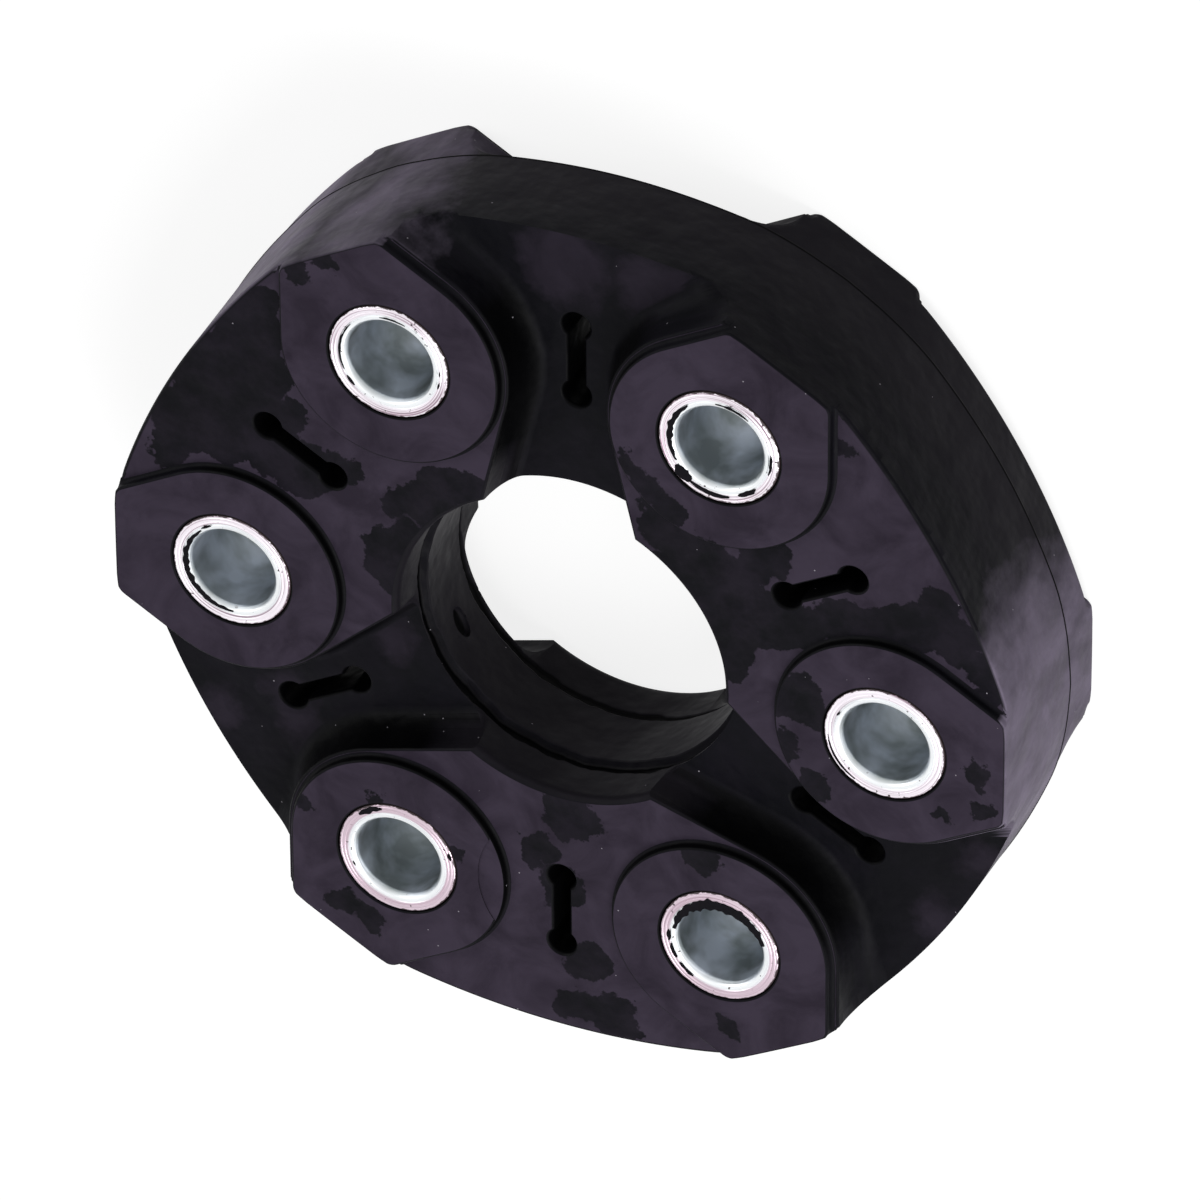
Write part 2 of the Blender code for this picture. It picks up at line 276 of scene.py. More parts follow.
# %% Loft the drum
land_height = half_thickness - 1.4
floor_height = half_thickness - 7.6
parting_height = -floor_height
parting_widening = 0.3
parting_softness = 3.0
face_softness = 1.0
edge_round = 0.35
round_steps = 4
wall_steps = 8


def drum_levels():
    """Heights of the drum with its outline at each, from the rear face to the front."""
    levels = []
    for face, sign in ((-half_thickness, 1), (half_thickness, -1)):
        side = []
        for i in range(round_steps + 1):
            turn = 0.5 * math.pi * i / round_steps
            side.append((face + sign * edge_round * (1 - math.cos(turn)), edge_round * (1 - math.sin(turn)),
                         face_softness, 0.0))
        reach = abs(parting_height - face)
        for i in range(1, wall_steps + 1):
            depth = edge_round + (reach - 2 * edge_round) * i / wall_steps
            share = (depth / reach) ** 1.5
            softness = face_softness + (parting_softness - face_softness) * share
            side.append((face + sign * depth, 0.0, softness, parting_widening * share))
        levels.append(side)
    rear, front = levels
    line = [(parting_height + rise, inset, parting_softness, parting_widening)
            for rise, inset in ((-0.14, 0.0), (-0.05, -0.09), (0.05, -0.09), (0.14, 0.0))]
    return [(height, drum_outline(inset, softness, widening))
            for height, inset, softness, widening in rear + line + front[::-1]]


drum = loft("rubber_moulding", drum_levels())
print("drum", len(drum.data.polygons), "faces")

# %% [markdown]
# ## Pads and lands
# Each bush ends in a boss pad that stands 1.4 mm proud, so that only the pads touch the flange. A pad is
# round with two straight sides that run to the rim, where their corners are rounded. The easy way is to make
# what is missing: a slab that covers the whole face, less the six pads. Taking that away leaves the pads
# with their fillets and the rounded rim. Both faces are alike, so the slab is made once and turned over.

# %% Cut the faces down round the pads
pad_corner_radius = 2.2
corner_overrun = math.radians(5)


def pad_outline(distance, angle):
    """A pad whose arc and sides lie at a distance from the bush axis, with rounded corners at the rim."""
    side_turn = math.pi / 2 - pad_side_turn
    back = flat_arc((0, 0), distance, side_turn, 2 * math.pi - side_turn, 64)
    corner_x = flat_reach - pad_corner_radius
    corner_y = (pad_radius - pad_corner_radius - corner_x * math.cos(side_turn)) / math.sin(side_turn)
    round_radius = pad_corner_radius + distance - pad_radius
    lower = flat_arc((corner_x, -corner_y), round_radius, -side_turn, -corner_overrun, 8)
    upper = [Vector((point.x, -point.y)) for point in reversed(lower)]
    tip = Vector((upper[0].x + upper[0].y * math.tan(corner_overrun), 0))
    points = back + lower + [tip] + upper
    return turned([Vector((bush_circle, 0)) + point for point in points], angle)


pad_profile = [(16.75, 12.6), (16.75, 13.57), (16.5, 13.61), (16.28, 13.69), (16.12, 13.83), (16.03, 14.0),
               (16.0, 14.2), (16.0, 14.62), (15.94, 14.80), (15.80, 14.93), (15.62, 15.0), (15.62, 17.0)]
slab_rim = [(-0.75, 13.6), (-0.45, 13.56), (-0.22, 13.46), (-0.07, 13.3), (0.0, 13.1), (0.25, 12.7),
            (3.0, 12.6), (3.0, 16.5)]


def face_slab():
    """What the mould leaves out above the lands of the front face."""
    levels = [(height, drum_outline(-grow, face_softness, 0.0)) for grow, height in slab_rim]
    pads = [loft("pad", [(height, pad_outline(distance, bush_turns[number])) for distance,
                         height in pad_profile]) for number in bush_numbers]
    return cut_away(loft("face_slab", levels), pads)


slab = face_slab()
slabs = [slab, place_copy(slab, 0.0, True)]
print("slab", len(slabs[0].data.polygons), "faces")

# %% [markdown]
# ## Hollows of the thin spans
# A thin span is sunk 7.6 mm into each face. Its walls follow the bosses at the top and spread into the floor
# as a wide fillet, drawn here as a quarter of an ellipse, and the hollow runs out over the rim and into the
# hole.

# %% Loft a hollow
shelf_radius = 17.0
floor_radius = 20.0
inner_flare = math.radians(13)
floor_flare = math.radians(45)
lip_round = 0.4
hole_radius = 24.0
rim_overrun = 8.0
side_steps = 28
fillet_steps = 18


def hollow_outline(distance, outer_flare):
    """A hollow seen along the shaft, at a distance from both bush axes, in the frame of its span."""
    centre = Vector((bush_line, half_spacing))
    turns = [-inner_flare + (inner_flare + outer_flare) * i / side_steps for i in range(side_steps + 1)]
    side = [centre + distance * Vector((math.sin(turn), -math.cos(turn))) for turn in turns]
    inner_end = side[0] + (side[0].x - hole_radius / 2) * Vector((-1, math.tan(inner_flare)))
    outer_end = side[-1] + (rim_radius + rim_overrun - side[-1].x) * Vector((1, math.tan(outer_flare)))
    inner = [inner_end.lerp(side[0], share) for share in (0, 0.33, 0.66)]
    outer = [side[-1].lerp(outer_end, share) for share in (0.25, 0.5, 0.75, 1)]
    side = inner + side + outer
    return [Vector((point.x, -point.y)) for point in reversed(side)] + side


def hollow_levels():
    """Heights of a hollow with its outline at each, from the floor up."""
    top_flare = half_step + pad_side_turn
    floor = hollow_outline(floor_radius, floor_flare)
    wall_top = land_height - lip_round
    wall = hollow_outline(shelf_radius, top_flare)
    levels = []
    for i in range(fillet_steps + 1):
        turn = 0.5 * math.pi * i / fillet_steps
        spread = math.sin(turn)
        height = floor_height + (wall_top - floor_height) * (1 - math.cos(turn))
        levels.append((height, [a.lerp(b, spread) for a, b in zip(floor, wall)]))
    for i in range(1, round_steps + 1):
        turn = 0.5 * math.pi * i / round_steps
        distance = shelf_radius - lip_round * (1 - math.cos(turn))
        levels.append((wall_top + lip_round * math.sin(turn), hollow_outline(distance, top_flare)))
    levels.append((half_thickness + 1.5, hollow_outline(shelf_radius - lip_round, top_flare)))
    return levels


hollow = loft("hollow", hollow_levels())
hollows = [place_copy(hollow, angle, flip) for angle in thin_spans for flip in (False, True)]
bpy.data.objects.remove(hollow)
print("hollows", len(hollows))

# %% [markdown]
# ## Hole, slots and seats
# The centre hole clears the shaft's centring pin. A band stands proud round its middle, and the two parts of
# the mould's core met at its edges, in a groove whose black is painted shade. Slots through each span let
# the rubber flex. The seats round the bushes, collars and cord loops follow the imported pieces with 0.3 mm
# of room.
# Rubber tore a little along both grooves when the core was pulled, and an air bubble left one pit in the
# band. The pad of the third bush has a shallow dent at its edge, as wide as a fingertip.

# %% Turn the hole, loft the slots
band_radius = 23.4
band_half = 5.2
shaft_axis = Vector((0, 0, 0))
hole_half_profile = [(0, 16.5), (25.3, 16.5), (25.0, 13.65), (24.7, 13.52), (24.36, 13.24), (24.1, 12.8),
                     (hole_radius, 12.2), (hole_radius, 7.1), (24.3, 6.8), (24.55, 6.5), (24.55, 5.6),
                     (24.3, band_half), (23.6, band_half), (band_radius, 4.9)]
hole_profile = hole_half_profile + [(radius, -height) for radius, height in reversed(hole_half_profile)]
hole = revolve("centre_hole", hole_profile, shaft_axis, 180)


def fray(item, low, high, reach):
    """Move the points of a turned cutter that lie between two heights, as rubber tears where cores part."""
    for vert in item.data.vertices:
        height = vert.co.z / MM
        if low < height < high:
            turn = math.atan2(vert.co.y, vert.co.x)
            spot = Vector((7 * math.cos(turn), 7 * math.sin(turn), high))
            vert.co.z += reach * MM * (noise.noise(spot) + 0.6 * noise.noise(3.1 * spot))


# lowest and highest point of each edge of a groove, and how far it is torn
torn_edges = ((4.7, 5.7, 0.4), (6.3, 7.2, 0.5), (-5.7, -4.7, 0.3), (-7.2, -6.3, 0.5))
for low, high, reach in torn_edges:
    fray(hole, low, high, reach)
pit_turn = math.radians(177)
pit_size = (1.2, 2.4, 1.5)
pit_solid = bmesh.new()
bmesh.ops.create_icosphere(pit_solid, subdivisions=3, radius=MM, matrix=Matrix.Rotation(pit_turn, 4, "Z")
                           @ Matrix.Translation((band_radius * MM, 0, 0)) @ Matrix.Diagonal((*pit_size, 1)))
pit = finish_solid(pit_solid, "pit")

dent_depth = 0.15
dent_centre = (-19.8, -35.2)
dent_radius = 12.3
dent_outline = flat_arc(dent_centre, dent_radius, math.radians(115), math.radians(188.4), 16)
dent_outline += flat_arc(bush_axes[3].xy, pad_radius + 0.3, math.radians(-53), math.radians(-1), 16)
dent = loft("dent", [(half_thickness - dent_depth, dent_outline), (half_thickness + 1.0, dent_outline)])

slot_length = 15.0
slot_end_radius = 2.0
slot_waist = 2.3
slot_middle = 43.9


def slot_outline(grow):
    """A dog-bone slot along the X axis, made larger all round."""
    half_waist = slot_waist / 2 + grow
    radius = slot_end_radius + grow
    neck = math.asin(half_waist / radius)
    middle = slot_length / 2 - slot_end_radius
    end = flat_arc((middle, 0), radius, neck - math.pi, math.pi - neck, 24)
    waist = [Vector((x * end[-1].x, end[-1].y)) for x in (0.5, 0.0, -0.5)]
    half = end + waist
    points = half + [-point for point in half]
    return [Vector((slot_middle, 0)) + point for point in points]


def slot_cutter(mouth, angle):
    """A slot through a span whose faces are at plus and minus a height, with rounded lips."""
    lip = [(0.45, 1.6), (0.45, 0.02), (0.30, -0.05), (0.13, -0.2), (0.03, -0.38), (0.0, -0.6)]
    half = [(mouth + rise, slot_outline(grow)) for grow, rise in lip]
    other = [(-height, outline) for height, outline in reversed(half)]
    item = loft("slot", half + other)
    item.data.transform(Matrix.Rotation(angle, 4, "Z"))
    return item


slots = [slot_cutter(land_height, angle) for angle in thick_spans]
slots += [slot_cutter(floor_height, angle) for angle in thin_spans]
print("slots", len(slots))

# %% Seats of the bushes, collars and loops
seat_room = 0.3
ring_radius = 8.75
shoulder_radius = 10.6
shoulder_half = 12.0


def bush_seat(axis):
    """The space that a bush takes up in the rubber, with a softly rounded mouth at both ends."""
    half = [(0, 16.5), (9.35, 16.5), (9.3, 15.03), (9.05, 14.96), (8.9, 14.8), (8.85, 14.5),
            (8.85, shoulder_half + seat_room), (shoulder_radius + seat_room, shoulder_half + seat_room)]
    return revolve("bush_seat", half + [(radius, -height) for radius, height in reversed(half)], axis, 72)


def grown_copy(node):
    """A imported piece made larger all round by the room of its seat."""
    solid = bmesh.new()
    solid.from_mesh(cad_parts[node].data)
    bmesh.ops.remove_doubles(solid, verts=solid.verts, dist=0.001 * MM)
    solid.normal_update()
    shifts = [(vert, vert.normal * vert.calc_shell_factor() * seat_room * MM) for vert in solid.verts]
    for vert, shift in shifts:
        vert.co += shift
    return finish_solid(solid, "seat")


inner_nodes = [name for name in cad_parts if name.startswith(("collar", "cord_loop"))]
seats = [bush_seat(axis) for axis in bush_axes.values()]
seats += [grown_copy(name) for name in inner_nodes]
print("seats", len(seats))

# %% [markdown]
# ### One cut for everything
# The closed mould leaves all the hollows at once, and one exact cut takes them all away. It splits flat
# faces, so these are joined again, and the light runs evenly over them.

# %% Cut the moulding
cut_away(drum, slabs + hollows + [hole, pit, dent] + slots + seats)
solid = bmesh.new()
solid.from_mesh(drum.data)
bmesh.ops.dissolve_limit(solid, angle_limit=math.radians(0.05), verts=solid.verts, edges=solid.edges)
bmesh.ops.delete(solid, geom=[vert for vert in solid.verts if not vert.link_faces], context="VERTS")
solid.to_mesh(drum.data)
solid.free()
triangle_count = sum(len(face.vertices) - 2 for face in drum.data.polygons)
print("moulding", len(drum.data.polygons), "faces,", triangle_count, "triangles")


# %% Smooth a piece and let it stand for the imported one
def finish_piece(item, name, material, nodes=(), sharp_turn=35):
    """Name a piece, give it its finish and its place in the model."""
    item.name = name
    item.data.name = name
    item.data.materials.clear()
    item.data.materials.append(material)
    item.data.shade_smooth()
    item.data.set_sharp_from_angle(angle=math.radians(sharp_turn))
    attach(item, "root")
    if nodes:
        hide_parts(*nodes)
    return item


# %% [markdown]
# ## Materials
# Hex colours are easy to read off a photograph but are stored for a screen, so one function turns them to
# the linear values that a shader works in. Another adds a node with its settings and links, which keeps each
# material short.

# %% Helpers for materials
def colour(code):
    """Linear RGBA from a hex code."""
    parts = [int(code[i:i + 2], 16) / 255 for i in (0, 2, 4)]
    return (*[part / 12.92 if part <= 0.04045 else ((part + 0.055) / 1.055) ** 2.4 for part in parts], 1.0)


def fill(tree, node, inputs):
    """Fill a node's sockets with values or links. Another node stands for its first output in use."""
    for key, value in inputs.items():
        if isinstance(value, bpy.types.Node):
            value = next(socket for socket in value.outputs if socket.enabled)
        if isinstance(value, bpy.types.NodeSocket):
            tree.links.new(value, node.inputs[key])
        else:
            node.inputs[key].default_value = value
    return node


def add_node(tree, kind, inputs=None, **settings):
    """Add a shader node, set its properties and fill its sockets."""
    node = tree.nodes.new("ShaderNode" + kind)
    for name, value in settings.items():
        setattr(node, name, value)
    return fill(tree, node, inputs or {})


def new_material(name):
    """A material with only its output and shader, and the shader's tree."""
    material = bpy.data.materials.new(name)
    material.use_nodes = True
    return material, material.node_tree, material.node_tree.nodes["Principled BSDF"]


# %% [markdown]
# ### Moulded black rubber
# Natural rubber filled with carbon black is nearly black and matt. Wax in it creeps out as a thin, pale,
# faintly purple bloom on the faces that lay open to the air, and where the disc was handled the bloom is
# rubbed off again. Rubbed patches have ragged borders: each is a circle here, and noise moves the points at
# which it is measured.

# %% Where the bloom is rubbed off
# x, y and reach in millimetres, by the height that a patch lies at
rubbed_lands = [(-15, 61, 2.7), (-20, 56, 5.5), (-28, 52, 6.4), (-35, 47, 6), (-42, 43, 3.3), (-30, 44, 6.4),
                (-26, 39, 5.2), (-22, 35, 4.5), (-17, 34, 2.7), (-21, 43, 3), (-22, 50, 4.5), (-11, 27, 2.7),
                (-7, 25.5, 4.2), (0, 26, 3.3), (-15, 21, 4), (-12, 18, 4.5), (-18, 19, 3.4), (-18, 15, 3.2),
                (-18.5, 23, 2.2), (-3.5, 28.5, 2.2), (-18.5, 12, 2), (26, 14, 4), (29, 9, 5.2), (31, 3, 5.5),
                (39, 6, 3.3), (33, -3, 4.5), (38, -5, 3.8), (43, -5, 3.4), (47, -6, 3.2), (51, -8, 3.2),
                (55, -9, 3.4), (59, -8, 3.4), (60, -12, 3.4), (60, -17, 3), (60, -21, 2.2), (58.5, 19, 1.8),
                (22, 5, 6), (24, -5, 5), (-12, -24, 4.5), (-20, -28, 3), (-20, -35, 3.5), (-22, -47, 3.3),
                (-28, -53, 3), (-23, -56, 3.9)]
rubbed_pads = [(-6, 64, 2.2), (-1, 64.5, 1.8), (27, 25, 1.8), (28, 21, 2.4), (29, 17, 2.4), (31, 12, 1.6),
               (-51, -12, 1.6), (-54, -28, 2.2), (-51, -32, 2.4), (-40, -15, 1.4), (-32, -25, 1.3),
               (5, -34, 2.4), (-6, -60.5, 2), (33, -15, 4.2), (27, -21, 2.4), (28, -28, 2.2), (53, -31, 2.6),
               (51, -37, 1.8), (44, -36, 1.4)]
bloomed_floors = [(-50, 1, 3), (-51, -4, 3), (-50, -8, 3), (-62, 1, 3), (-29, 5, 3), (40, 44, 6),
                  (28, 52, 6), (41, -48, 3), (29, -55, 3)]
# painted sheen: pale patches on the drum's wall that stand in for its glancing reflections
sheen_patches_on_walls = [(62, -26, 9), (55, -36, 10), (48, -46, 8), (-19, 61, 10), (3, 65, 5)]


def patches(tree, place, places, border=0.12):
    """One inside any of the round patches, nothing outside, with a border as wide as told on either side."""
    blend = 2 * MM
    nearest = None
    for x, y, reach in places:
        away = add_node(tree, "VectorMath", {0: place, 1: (x * MM, y * MM, 0)}, operation="DISTANCE")
        inside = add_node(tree, "Math", {0: away, 1: reach * MM}, operation="SUBTRACT")
        if nearest is not None:
            inside = add_node(tree, "Math", {0: nearest, 1: inside, 2: blend}, operation="SMOOTH_MIN")
        nearest = inside
    return add_node(tree, "MapRange", {"Value": nearest, "From Min": border * MM, "From Max": -border * MM})


def shifted(tree, place, grain, detail, roughness, reach):
    """A noise, and the place seen along the shaft as that noise moves it to and fro, in millimetres."""
    tear = add_node(tree, "TexNoise", {"Vector": place, "Scale": 1 / (grain * MM), "Detail": detail,
                                       "Roughness": roughness})
    flat = add_node(tree, "VectorMath", {0: place, 1: (1, 1, 0)}, operation="MULTIPLY")
    moved = add_node(tree, "VectorMath", {0: tear.outputs["Color"], 1: (2 * reach * MM, 2 * reach * MM, 0),
                                          2: flat}, operation="MULTIPLY_ADD")
    moved = add_node(tree, "VectorMath", {0: moved, 1: (reach * MM, reach * MM, 0)}, operation="SUBTRACT")
    return tear, moved


# %% What the patterns go by
def measures(tree):
    """Place, height and distances at a point of the rubber, how upright its surface is, and a soft cloud."""
    place = add_node(tree, "TexCoord").outputs["Object"]
    normal = add_node(tree, "NewGeometry").outputs["Normal"]
    slope = add_node(tree, "SeparateXYZ", {"Vector": normal}).outputs["Z"]
    slope = add_node(tree, "Math", {0: slope}, operation="ABSOLUTE")
    height = add_node(tree, "SeparateXYZ", {"Vector": place}).outputs["Z"]
    across = add_node(tree, "VectorMath", {0: place, 1: (1, 1, 0)}, operation="MULTIPLY")
    radius = add_node(tree, "VectorMath", {0: across}, operation="LENGTH")
    return SimpleNamespace(
        place=place, slope=slope, height=height, radius=radius,
        depth=add_node(tree, "Math", {0: height}, operation="ABSOLUTE"),
        upright=add_node(tree, "MapRange", {"Value": slope, "From Min": 0.95, "From Max": 0.6}),
        within_rim=add_node(tree, "MapRange", {"Value": radius, "From Min": 57 * MM, "From Max": 53 * MM}),
        past_hole=add_node(tree, "MapRange", {"Value": radius, "From Min": 26 * MM, "From Max": 31 * MM}),
        cloud=add_node(tree, "TexNoise", {"Vector": place, "Scale": 1 / (9 * MM), "Detail": 10.0,
                                          "Roughness": 0.6, "Distortion": 0.7}))


# %% Where bloom lies
def bloom_mask(tree, at):
    """How much bloom there is: on pads and lands less their rubbed patches, a little on the floors, and none
    on the pad walls and the fillets at their feet, which is painted shade there.
    """
    tear, moved = shifted(tree, at.place, 5, 8.0, 0.62, 4.5)
    on_pad = add_node(tree, "MapRange", {"Value": at.depth, "From Min": 14.3 * MM, "From Max": 14.6 * MM})
    on_land = add_node(tree, "MapRange", {"Value": at.depth, "From Min": 12.6 * MM, "From Max": 13.2 * MM})
    rubbed = add_node(tree, "Mix", {0: on_pad, 2: patches(tree, moved, rubbed_lands),
                                    3: patches(tree, moved, rubbed_pads)})
    smear = add_node(tree, "MapRange", {"Value": tear, "From Min": 0.4, "From Max": 0.62, "To Min": 1.0,
                                        "To Max": 0.8})
    rubbed = add_node(tree, "Math", {0: rubbed, 1: smear}, operation="MULTIPLY")
    left = add_node(tree, "Math", {0: 1.0, 1: rubbed}, operation="SUBTRACT")
    low = patches(tree, moved, bloomed_floors, 1.5)
    low = add_node(tree, "Math", {0: low, 1: 0.4}, operation="MULTIPLY")
    bloom = add_node(tree, "Mix", {0: on_land, 2: low, 3: left})
    # the pad walls and the fillets at their feet get no bloom: painted shade that darkens the pads' feet
    clear = add_node(tree, "MapRange", {"Value": at.depth, "From Min": 13.75 * MM, "From Max": 13.62 * MM})
    clear = add_node(tree, "Math", {0: clear, 1: on_pad}, operation="MAXIMUM")
    bloom = add_node(tree, "Math", {0: bloom, 1: clear}, operation="MULTIPLY")
    # bloom only on level faces, so the fillets round the pads stay dark as painted shade
    level = add_node(tree, "MapRange", {"Value": at.slope, "From Min": 0.96, "From Max": 0.998})
    return add_node(tree, "Math", {0: bloom, 1: level}, operation="MULTIPLY")


def painted_wall_sheen_mask(tree, at):
    """Painted sheen: soft uneven pale patches on the drum's wall, which stop short of the steps round the
    pads.
    """
    painted_wall_sheen = patches(tree, shifted(tree, at.place, 13, 5.0, 0.6, 13)[1], sheen_patches_on_walls, 6.0)
    painted_wall_sheen = add_node(tree, "Math", {0: painted_wall_sheen, 1: at.upright}, operation="MULTIPLY")
    step = add_node(tree, "MapRange", {"Value": at.depth, "From Min": 13.5 * MM, "From Max": 13.65 * MM})
    within = add_node(tree, "MapRange", {"Value": at.radius, "From Min": 65.3 * MM, "From Max": 64.8 * MM})
    step = add_node(tree, "Math", {0: step, 1: within}, operation="MULTIPLY")
    painted_wall_sheen = add_node(tree, "Math", {0: painted_wall_sheen, 1: step}, operation="SUBTRACT", use_clamp=True)
    uneven = add_node(tree, "MapRange", {"Value": at.cloud, "From Min": 0.35, "From Max": 0.6,
                                         "To Min": 0.6})
    return add_node(tree, "Math", {0: painted_wall_sheen, 1: uneven}, operation="MULTIPLY")


# %% [markdown]
# Bare rubber isn't one black. Flow in the mould left streaks along the wall, and white dust lies on all of
# it.
# Painted shade makes the upright walls inside the rim the blackest, and the slots and the hole's grooves
# black.

# %% Bare rubber, painted shade and dust
def bare_tone(tree, at):
    """Rubber without bloom: black and streaked, with painted shade on upright walls inside the rim, greyer
    low down and in the hole.
    """
    along = 1 / (14 * MM)
    stretched = add_node(tree, "Mapping", {"Vector": at.place, "Scale": (along, along, 1 / (0.9 * MM))})
    streak = add_node(tree, "TexNoise", {"Vector": stretched, "Scale": 1.0, "Detail": 6.0, "Roughness": 0.7})
    streak = add_node(tree, "MapRange", {"Value": streak, "From Min": 0.42, "From Max": 0.78})
    dark = add_node(tree, "Mix", {0: streak, 6: colour("0b0b0f"), 7: colour("15131a")}, data_type="RGBA")
    # painted shade: upright walls between the hole and the rim turn nearly black
    painted_wall_shade = add_node(tree, "Math", {0: at.within_rim, 1: at.past_hole}, operation="MULTIPLY")
    painted_wall_shade = add_node(tree, "Math", {0: painted_wall_shade, 1: at.upright}, operation="MULTIPLY")
    dark = add_node(tree, "Mix", {0: painted_wall_shade, 6: dark, 7: colour("030304")}, data_type="RGBA")
    low = add_node(tree, "MapRange", {"Value": at.height, "From Min": 7 * MM, "From Max": -3 * MM})
    at_rim = add_node(tree, "Math", {0: 1.0, 1: at.within_rim}, operation="SUBTRACT")
    low = add_node(tree, "Math", {0: low, 1: at_rim}, operation="MULTIPLY")
    in_hole = add_node(tree, "Math", {0: 1.0, 1: at.past_hole}, operation="SUBTRACT")
    grey = add_node(tree, "Math", {0: low, 1: in_hole}, operation="MAXIMUM")
    grey = add_node(tree, "Math", {0: grey, 1: at.upright}, operation="MULTIPLY")
    return add_node(tree, "Mix", {0: grey, 6: dark, 7: colour("1d1b20")}, data_type="RGBA")


def gap_shade_and_seam_mask(tree, at):
    """Black painted shade in the hole's grooves beside the band and in the slots, and a dark line along the
    parting line.
    """
    behind = add_node(tree, "MapRange", {"Value": at.radius, "From Min": (hole_radius + 0.05) * MM,
                                         "From Max": (hole_radius + 0.2) * MM})
    near = add_node(tree, "MapRange", {"Value": at.depth, "From Min": 9 * MM, "From Max": 8 * MM})
    groove = add_node(tree, "Math", {0: behind, 1: near}, operation="MULTIPLY")
    line = add_node(tree, "Math", {0: at.height, 1: parting_height * MM}, operation="SUBTRACT")
    line = add_node(tree, "Math", {0: line}, operation="ABSOLUTE")
    line = add_node(tree, "MapRange", {"Value": line, "From Min": 0.22 * MM, "From Max": 0.12 * MM})
    # inside the rim the grooves and slots get painted shade; on the drum the parting line is a dark seam
    gap_shade_and_seam = add_node(tree, "Mix", {0: at.within_rim, 2: line, 3: groove})
    return add_node(tree, "Math", {0: gap_shade_and_seam, 1: at.upright}, operation="MULTIPLY")


def dusted(tree, at, tint):
    """White dust over a colour: a speck in the middle of some of the cells that space is divided into."""
    dust = add_node(tree, "TexVoronoi", {"Vector": at.place, "Scale": 1 / (3 * MM)})
    speck = add_node(tree, "Math", {0: dust, 1: 0.035}, operation="LESS_THAN")
    pick = add_node(tree, "SeparateColor", {0: dust.outputs["Color"]})
    pick = add_node(tree, "Math", {0: pick, 1: 0.45}, operation="GREATER_THAN")
    speck = add_node(tree, "Math", {0: speck, 1: pick}, operation="MULTIPLY")
    return add_node(tree, "Mix", {0: speck, 6: tint, 7: colour("8f8b93")}, data_type="RGBA")


# %% Rubber
def rubber_material():
    """Carbon black rubber: dark and matt, bloomed on its flat faces, with flow marks, streaks and dust,
    painted sheen on its wall and painted shade in its recesses and gaps.
    """
    material, tree, shader = new_material("moulded_carbon_black_rubber")
    at = measures(tree)
    tone = add_node(tree, "MapRange", {"Value": at.cloud, "From Min": 0.34, "From Max": 0.62})
    pale = add_node(tree, "Mix", {0: tone, 6: colour("28222d"), 7: colour("39323f")}, data_type="RGBA")
    # the pale patches on the drum's wall are painted sheen
    dark = add_node(tree, "Mix", {0: painted_wall_sheen_mask(tree, at), 6: bare_tone(tree, at), 7: colour("7b7284")},
                    data_type="RGBA")
    # black painted shade in the hole's grooves and the slots, and the dark parting line
    dark = add_node(tree, "Mix", {0: gap_shade_and_seam_mask(tree, at), 6: dark, 7: colour("020203")}, data_type="RGBA")
    tint = add_node(tree, "Mix", {0: bloom_mask(tree, at), 6: dark, 7: pale}, data_type="RGBA")
    matt = add_node(tree, "MapRange", {"Value": at.cloud, "From Min": 0.3, "From Max": 0.7, "To Min": 0.42,
                                       "To Max": 0.6})
    grain = add_node(tree, "TexNoise", {"Vector": at.place, "Scale": 1 / (0.7 * MM), "Detail": 4.0})
    flow = add_node(tree, "TexNoise", {"Vector": at.place, "Scale": 1 / (5 * MM), "Detail": 2.0})
    bump = add_node(tree, "Bump", {"Height": flow, "Strength": 1.0, "Distance": 0.5 * MM})
    bump = add_node(tree, "Bump", {"Height": grain, "Strength": 1.0, "Distance": 0.03 * MM, "Normal": bump})
    fill(tree, shader, {"Base Color": dusted(tree, at, tint), "Roughness": matt, "Specular IOR Level": 0.05,
                        "Normal": bump})
    return material


finish_piece(drum, "rubber_moulding", rubber_material(), ["rubber_body"])
weighted = drum.modifiers.new("even_normals", "WEIGHTED_NORMAL")
weighted.keep_sharp = True

# %% [markdown]
# ### Zinc plated steel
# The bushes were turned from steel bar and plated, which leaves a bright metal. The tool's fine grooves run
# round the axis on both ends. The bore is painted duller and greener, in pale and dark patches that stand in
# for the reflections and shade inside it. These patterns follow the turning, so each bush carries an
# attribute with every point's place from its own axis.

# %% Zinc
# x, y and reach in millimetres of the bush ends where the plating is dulled and pinkish
dulled_ends = [(-41.6, -24, 10), (0, -48, 10)]


def end_tone(tree, place, radius, groove):
    """Colour of the bush ends: nearly white, with tool grooves on the outer ring and two dulled ends."""
    flat = add_node(tree, "VectorMath", {0: place, 1: (1, 1, 0)}, operation="MULTIPLY")
    trace = add_node(tree, "MapRange", {"Value": groove, "From Min": 0.5, "From Max": 0.68})
    grooved = add_node(tree, "Mix", {0: trace, 6: colour("ece5ec"), 7: colour("9a8391")}, data_type="RGBA")
    worn = patches(tree, flat, dulled_ends, 4.0)
    grooved = add_node(tree, "Mix", {0: worn, 6: grooved, 7: colour("c4adba")}, data_type="RGBA")
    outer = add_node(tree, "MapRange", {"Value": radius, "From Min": 7.25 * MM, "From Max": 7.5 * MM})
    return add_node(tree, "Mix", {0: outer, 6: colour("e9ecee"), 7: grooved}, data_type="RGBA")


def grime_mask(tree, place, radius, mouth):
    """Rubber that sticks to the steel: a ragged edge all round and crumbs on the ends."""
    ragged = add_node(tree, "TexNoise", {"Vector": place, "Scale": 1 / (0.9 * MM), "Detail": 3.0})
    edge = add_node(tree, "Math", {0: ragged, 1: 0.7 * MM, 2: radius}, operation="MULTIPLY_ADD")
    edge = add_node(tree, "MapRange", {"Value": edge, "From Min": 8.9 * MM, "From Max": 8.96 * MM})
    crumb = add_node(tree, "MapRange", {"Value": ragged, "From Min": 0.68, "From Max": 0.7})
    crumb = add_node(tree, "Math", {0: crumb, 1: mouth}, operation="MULTIPLY")
    return add_node(tree, "Math", {0: crumb, 1: edge}, operation="MAXIMUM")


